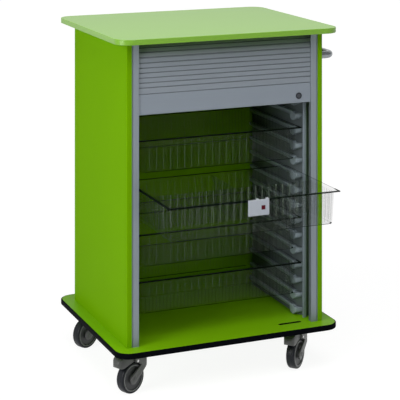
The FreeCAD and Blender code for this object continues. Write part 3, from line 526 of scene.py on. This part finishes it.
# ---------------------------------------------------------------- trays
# Thin tubs moulded in clear plastic, with upright ribs outside and a flat lip that hangs on the
# ledges.  The lip's edge and the foot are painted almost black, and the ribs' flanks and low ribs
# dark: painted shade, where the light leaves the sheet.  The high ribs are painted pale: painted
# highlight.
TUB = (0.600, 0.400, 0.110)
LIP = 0.014
LIP_THICK = 0.003
WALL = 0.0025
DRAFT = 0.005
RIB_PITCH = 0.0125
RIB_HEIGHT = 0.0014
LOW_RIB = 0.6
RIB_PLAN = 0.001 * np.array((-1.7, -0.7, 0.7, 1.7))
CORNER_POINTS = 7

# A view through the open tray into the closed ones crosses some twenty faces, so the limit for
# see-through faces is raised.
scene.cycles.transparent_max_bounces = 48
clear = finish("clear_sheet", (0.004, 0.012, 0.003), spread=0.06, rough=0.12, rough_spread=0.05,
               grain=120.0, bump=0.02, Alpha=0.085, IOR=1.58)
# The ribs' pale colour is a painted highlight; the two dark finishes below are painted shade.
rib_highlight = finish("rib_painted_highlight", (0.38, 0.50, 0.36), spread=0.25, rough=0.25, rough_spread=0.06,
                   grain=150.0, bump=0.02, Alpha=0.26, IOR=1.58)
rim_shade = finish("rim_painted_shade", (0.0012, 0.0045, 0.0018), spread=0.20, rough=0.45, grain=300.0,
                  bump=0.03, Alpha=0.96, Specular_IOR_Level=0.03)
edge_shade = finish("edge_painted_shade", (0.002, 0.008, 0.003), spread=0.20, rough=0.45, grain=300.0,
                   bump=0.03, Alpha=0.20, Specular_IOR_Level=0.05)
SHEETS = (clear, rib_highlight, rim_shade, edge_shade)
CLEAR, RIB_HIGHLIGHT, RIM_SHADE, EDGE_SHADE = range(4)


def ribs(reach):
    """Places along a wall, and the ribs' height there: 0 to 1 over a rib, every second lower."""
    count = int(reach / RIB_PITCH)
    numbers = np.arange(-count, count + 1)
    places = (numbers[:, None] * RIB_PITCH + RIB_PLAN).reshape(-1)
    height = np.where(numbers % 2 == 0, 1.0, LOW_RIB)
    return places, (height[:, None] * np.array((0.0, 1.0, 1.0, 0.0))).reshape(-1)


RIBS_REACH = (0.268, 0.168)         # from the middle of a long and of a short wall
WALL_RIBS = [ribs(reach) for reach in RIBS_REACH]


def tub_ring(centre, inset, radius, z, rib):
    """Rounded rectangle at one level: four walls with ribs standing out, each with its corner arc.

    A wall's points are its places along it, and depth + rib x height out from the centre.  The
    arc's are its middle + radius (cos a out + sin a along), for a from 0 to a quarter turn.
    """
    points = []
    for quarter in range(4):
        along = np.array((math.cos(quarter * math.pi / 2), math.sin(quarter * math.pi / 2)))
        out = np.array((along[1], -along[0]))
        length = TUB[quarter % 2] / 2 - inset
        depth = TUB[1 - quarter % 2] / 2 - inset
        places, height = WALL_RIBS[quarter % 2]
        points.append(places[:, None] * along + (depth + rib * height)[:, None] * out)
        a = np.linspace(0.0, math.pi / 2, CORNER_POINTS)[:, None]
        corner = (length - radius) * along + (depth - radius) * out
        points.append(corner + radius * (np.cos(a) * out + np.sin(a) * along))
    flat = np.concatenate(points)
    return np.column_stack((flat + centre, np.full(len(flat), z)))


def tub(name, node, body):
    """Tub: rings from its floor up the inside, out over the lip and down the ribbed outside.

    Each ring is an inset from the lip's edge, a corner radius, a level and the ribs' height.
    The steps between rings are clear, except the lip's edge and the foot, which are painted shade,
    darker at the front and lighter on the right side.  The ribs' flanks, the low ribs and a line at
    the front-right corner are painted shade, and the high ribs painted highlight.
    """
    low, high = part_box(node)
    centre = np.array((low[0] + high[0], low[1] + high[1])) / 2
    top, foot = high[2], low[2]
    inside, outside = LIP + WALL, LIP + DRAFT
    slope = DRAFT / TUB[2]
    under = top - LIP_THICK
    floor_rings = [(outside + WALL + 0.004, 0.005, foot + WALL, 0),
                   (outside + WALL, 0.006, foot + WALL + 0.004, 0)]
    lip_rings = [(inside, 0.007, top - 0.001, 0),
                 (inside - 0.001, 0.008, top, 0),
                 (0.0080, 0.005, top, 0),
                 (0.0008, 0.0036, top, 0),
                 (0.0, 0.004, top - 0.0008, 0),
                 (0.0, 0.004, under, 0),
                 (LIP, 0.009, under, 0)]
    rib_rings = [(LIP + 0.003 * slope, 0.009, under - 0.003, 0),
                 (LIP + 0.0045 * slope, 0.009, under - 0.0045, RIB_HEIGHT),
                 (outside - 0.010 * slope, 0.008, foot + 0.010, RIB_HEIGHT),
                 (outside - 0.008 * slope, 0.008, foot + 0.008, 0)]
    foot_rings = [(outside, 0.009, foot + 0.0032, 0),
                  (outside + 0.0013, 0.008, foot + 0.0013, 0),
                  (outside + 0.0045, 0.007, foot, 0)]
    rings = floor_rings + lip_rings + rib_rings + foot_rings
    lip_edge, ribbed, foot_edge, foot_turn = slice(4, 7), slice(9, 12), 13, 14

    height = np.concatenate([part for q in range(4)
                             for part in (WALL_RIBS[q % 2][1], np.zeros(CORNER_POINTS))])
    after = np.roll(height, -1)
    front_end = len(WALL_RIBS[0][0]) + CORNER_POINTS
    right_end = front_end + len(WALL_RIBS[1][0]) + CORNER_POINTS
    paints = np.full((len(rings) - 1, len(height)), CLEAR)
    # Painted shade on the ribs' flanks and the low ribs, painted highlight on the high ribs, and a
    # painted dark line at the front-right corner.
    paints[ribbed, (height > 0) | (after > 0)] = EDGE_SHADE
    paints[ribbed, (height > LOW_RIB) & (after > LOW_RIB)] = RIB_HIGHLIGHT
    paints[ribbed, front_end - 4:front_end - 1] = EDGE_SHADE
    # Painted shade on the lip's edge and the foot, darker at the front and lighter on the right
    # side.
    paints[lip_edge] = RIM_SHADE
    paints[lip_edge, front_end:right_end] = EDGE_SHADE
    paints[foot_edge] = EDGE_SHADE
    paints[foot_edge, :front_end] = RIM_SHADE
    paints[foot_turn] = RIM_SHADE
    paints[foot_turn, front_end:right_end] = CLEAR
    grid = np.stack([tub_ring(centre, *ring) for ring in rings])
    skin(name, [grid], SHEETS, body, replaces=(node,), paints=paints)


for number in range(1, 5):
    tub("clear_tub_%d" % number, "tray_%d" % number, "tray_%d" % number)

# ---------------------------------------------------------------- dividers
# Two clear ribbed walls that push into the second tray and cross in it.  Their ends lean with
# the tub's walls.
DIVIDER_RIB = 0.0008
END_LEAN = DRAFT * 0.97
PLAIN_END = 0.012


def ribbed_wall(name, node, along, lean_low, lean_high):
    """Divider: a sheet between two ribbed faces, half the box's thickness less the ribs' valleys.

    Its rings stand upright across the sheet and follow one another along it.  At the foot its
    ends are set in by what they lean.
    """
    low, high = (np.array(corner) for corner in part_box(node))
    across = 1 - along
    middle = (low + high) / 2
    half = (high[along] - low[along]) / 2
    places, height = ribs(half - PLAIN_END)
    places = np.concatenate(((-half,), places, (half,)))
    height = np.concatenate(((0.0,), height, (0.0,)))
    thick = (high[across] - low[across]) / 2 - DIVIDER_RIB * (1 - height)
    grid = np.empty((len(places), 4, 3))
    grid[:, :, across] = middle[across] + thick[:, None] * np.array((-1, 1, 1, -1))
    grid[:, :, along] = middle[along] + places[:, None]
    grid[:, :, 2] = (low[2], low[2], high[2], high[2])
    grid[0, :2, along] += lean_low
    grid[-1, :2, along] -= lean_high
    lower, upper = np.sort((height[1:], height[:-1]), axis=0)
    # Painted highlight on the high ribs, and painted shade on their flanks, the low ribs and the top
    # edge.
    paints = np.select((lower > LOW_RIB, upper > 0), (RIB_HIGHLIGHT, EDGE_SHADE), CLEAR)[:, None].repeat(4, 1)
    paints[:, 2] = EDGE_SHADE
    skin(name, [grid], SHEETS, "tray_2", replaces=(node,), paints=paints)


ribbed_wall("divider_across", "cross_divider", 0, END_LEAN, END_LEAN)
ribbed_wall("divider_along", "length_divider", 1, 0.0, END_LEAN)

# ---------------------------------------------------------------- label
# White plastic plate clipped on the open tray's lip, with a blank card on it that carries a plain
# red square.
MARK_FROM_RIGHT = 0.0186
MARK_FROM_TOP = 0.0228
MARK_EDGE = (0.0074, 0.0064)        # from the square's middle to bare card and to full red
MARK_RED = (0.085, 0.0003, 0.006, 1)

dress(finish("label_white", (0.52, 0.56, 0.60), rough=0.5), "label_holder")
card = finish("card_white", (0.51, 0.55, 0.61), spread=0.05, rough=0.6, Specular_IOR_Level=0.1)
card_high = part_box("label_card")[1]
tree = card.node_tree
shader = tree.nodes["Principled BSDF"]
paper = shader.inputs["Base Color"].links[0].from_socket
coords = tree.nodes.new("ShaderNodeTexCoord")
apart = tree.nodes.new("ShaderNodeVectorMath")
apart.operation = "SUBTRACT"
apart.inputs[1].default_value = (card_high[0] - MARK_FROM_RIGHT, 0.0, card_high[2] - MARK_FROM_TOP)
size = tree.nodes.new("ShaderNodeVectorMath")
size.operation = "ABSOLUTE"
axes = tree.nodes.new("ShaderNodeSeparateXYZ")
tree.links.new(coords.outputs["Object"], apart.inputs[0])
tree.links.new(apart.outputs[0], size.inputs[0])
tree.links.new(size.outputs[0], axes.inputs[0])
away = combine(tree, "MAXIMUM", axes.outputs["X"], axes.outputs["Z"])
mark = tree.nodes.new("ShaderNodeMix")
mark.data_type = "RGBA"
mark.inputs["B"].default_value = MARK_RED
tree.links.new(ramp(tree, away, *MARK_EDGE), mark.inputs["Factor"])
tree.links.new(paper, mark.inputs["A"])
tree.links.new(mark.outputs["Result"], shader.inputs["Base Color"])
dress(card, "label_card")

# ---------------------------------------------------------------- push handle
# Steel tube bent round at both ends, with a round foot at each end that is screwed to the right
# side panel from inside.  Tube and feet are lacquered in metallic grey.
TUBE = 0.013                        # radius, as the bend's is to the tube's middle line
HANDLE_BEND = 0.024
FOOT_OVERHANG = 0.002
FOOT = ((15, 0), (15, 1.6), (14.4, 2.3), (13.2, 2.5))


def pipe(path, radius, around):
    """Tube along a level path: its rings are circles across it, radius (cos a side + sin a up)."""
    way = np.gradient(path, axis=0)
    way /= np.linalg.norm(way, axis=1)[:, None]
    side = np.stack((-way[:, 1], way[:, 0], 0 * way[:, 0]), 1)[:, None]
    a = np.linspace(0, 2 * math.pi, around, endpoint=False)[None, :, None]
    return path[:, None] + radius * (np.cos(a) * side + np.sin(a) * np.array((0.0, 0.0, 1.0)))


def lathe(centre, axis, profile, around):
    """Rings round an axis: radius r at b along it from the centre, for each (r, b) in mm."""
    axis = np.array(axis) / np.linalg.norm(axis)
    first = np.cross(axis, (0.0, 0.0, 1.0))
    first /= np.linalg.norm(first)
    second = np.cross(axis, first)
    a = np.linspace(0, 2 * math.pi, around, endpoint=False)[None, :, None]
    r, b = 0.001 * np.array(profile).T[:, :, None, None]
    return np.array(centre) + b * axis + r * (np.cos(a) * first + np.sin(a) * second)


handle_low, handle_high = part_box("push_handle")
face_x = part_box("side_panel_right")[1][0]
bar_x = handle_high[0] - TUBE
front_leg = handle_low[1] + TUBE + FOOT_OVERHANG
rear_leg = handle_high[1] - TUBE - FOOT_OVERHANG
handle_z = (handle_low[2] + handle_high[2]) / 2
a = np.linspace(0.0, math.pi / 2, 13)
bend = HANDLE_BEND * np.stack((np.sin(a), 1 - np.cos(a)), 1)
front_bend = np.array((bar_x - HANDLE_BEND, front_leg)) + bend
rear_bend = np.array((bar_x - HANDLE_BEND, rear_leg)) + bend[::-1] * (1, -1)
line = np.concatenate((((face_x, front_leg),), front_bend, rear_bend, ((face_x, rear_leg),)))
line = np.column_stack((line, np.full(len(line), handle_z)))
feet = [lathe((face_x, y, handle_z), (1, 0, 0), FOOT, 36) for y in (front_leg, rear_leg)]
handle_grey = finish("handle_grey", (0.27, 0.29, 0.305), spread=0.05, rough=0.24, rough_spread=0.04,
                     grain=900.0, bump=0.06, Metallic=0.75)
skin("handle_tube", [pipe(line, TUBE, 28)], (handle_grey,), "cabinet",
     replaces=("push_handle",))
skin("handle_feet", feet, (handle_grey,), "cabinet")

# ---------------------------------------------------------------- castor wheels
# A grey plastic core with a paler ring, and a rubber tyre moulded round it.  Each wheel turns on
# a blacked bolt.
CASTORS = ("front_left", "front_right", "rear_left", "rear_right")
AROUND = 56
TYRE = ((43, -14), (44.2, -14.8), (45.5, -15), (46.6, -14.8), (47.9, -14), (49.2, -12), (49.8, -10),
        (50, -7.6), (50, -6.4), (49.3, -6), (50, -5.6), (50, 5.6), (49.3, 6), (50, 6.4), (50, 7.6),
        (49.8, 10), (49.2, 12), (47.9, 14), (46.6, 14.8), (45.5, 15), (44.2, 14.8), (43, 14))
CORE_SIDE = ((4.06, 16.6), (11.5, 16.6), (13, 15.6), (14.2, 12), (16, 11), (35, 11.4), (37, 11.9),
             (38.3, 14.6), (39, 15.2), (42, 15.2), (42.7, 14.6), (43, 14))
CORE = [(r, -b) for r, b in CORE_SIDE] + list(reversed(CORE_SIDE))
RING_STEPS = (7, 8, 9, 13, 14, 15)
core_grey = finish("core_grey", (0.045, 0.047, 0.05), spread=0.10, rough=0.45)
ring_grey = finish("ring_grey", (0.19, 0.195, 0.20), spread=0.08, rough=0.40)
tread = finish("tread_rubber", (0.007, 0.009, 0.013), spread=0.2, rough=0.42, grain=700.0, bump=0.2,
               cloud=30.0, Specular_IOR_Level=0.25)
blacked = finish("blacked_steel", (0.10, 0.103, 0.10), rough=0.42, bump=0.05, Metallic=0.3)
joint_of = {joint["name"]: joint for joint in frame["record"]["behaviour"]["joints"]}
core_paints = np.zeros((len(CORE), AROUND), int)
core_paints[list(RING_STEPS)] = 1
for name in CASTORS:
    roll = joint_of["roll_" + name]
    wheel = "wheel_" + name
    tyre = lathe(roll["pos_m"], roll["axis"], TYRE, AROUND)
    core = lathe(roll["pos_m"], roll["axis"], CORE, AROUND)
    skin("castor_tyre_" + name, [tyre], (tread,), wheel,
         replaces=("tyre_" + name,), loop=True)
    skin("castor_core_" + name, [core], (core_grey, ring_grey), wheel,
         replaces=("wheel_core_" + name,), loop=True, paints=core_paints)
dress(blacked, *["castor_axle_" + name for name in CASTORS])

# ---------------------------------------------------------------- castor forks and pedals
# Grey plastic forks, which turn on a kingpin in the plate under the base panel.  The front two
# have a brake pedal on a bright pin.
fork_grey = finish("fork_grey", (0.105, 0.108, 0.105), spread=0.06, rough=0.38, grain=500.0,
                   bump=0.12, cloud=30.0)
# The pedals take a darker copy of the forks' grey: painted shade, for the shade under the base
# panel.
pedal_painted_shade = finish("pedal_painted_shade", (0.060, 0.063, 0.060), spread=0.06, rough=0.42, grain=500.0,
                    bump=0.12, cloud=30.0)
bright = finish("bright_steel", (0.55, 0.55, 0.55), rough=0.25, bump=0.03, Metallic=1.0)
for name in CASTORS:
    eased("fork_" + name, "castor_fork_" + name, fork_grey, "fork_" + name)
for name in ("front_left", "front_right"):
    eased("pedal_lever_" + name, "brake_pedal_" + name, pedal_painted_shade, "pedal_" + name,
          0.0028)
    dress(bright, "pedal_pin_" + name)
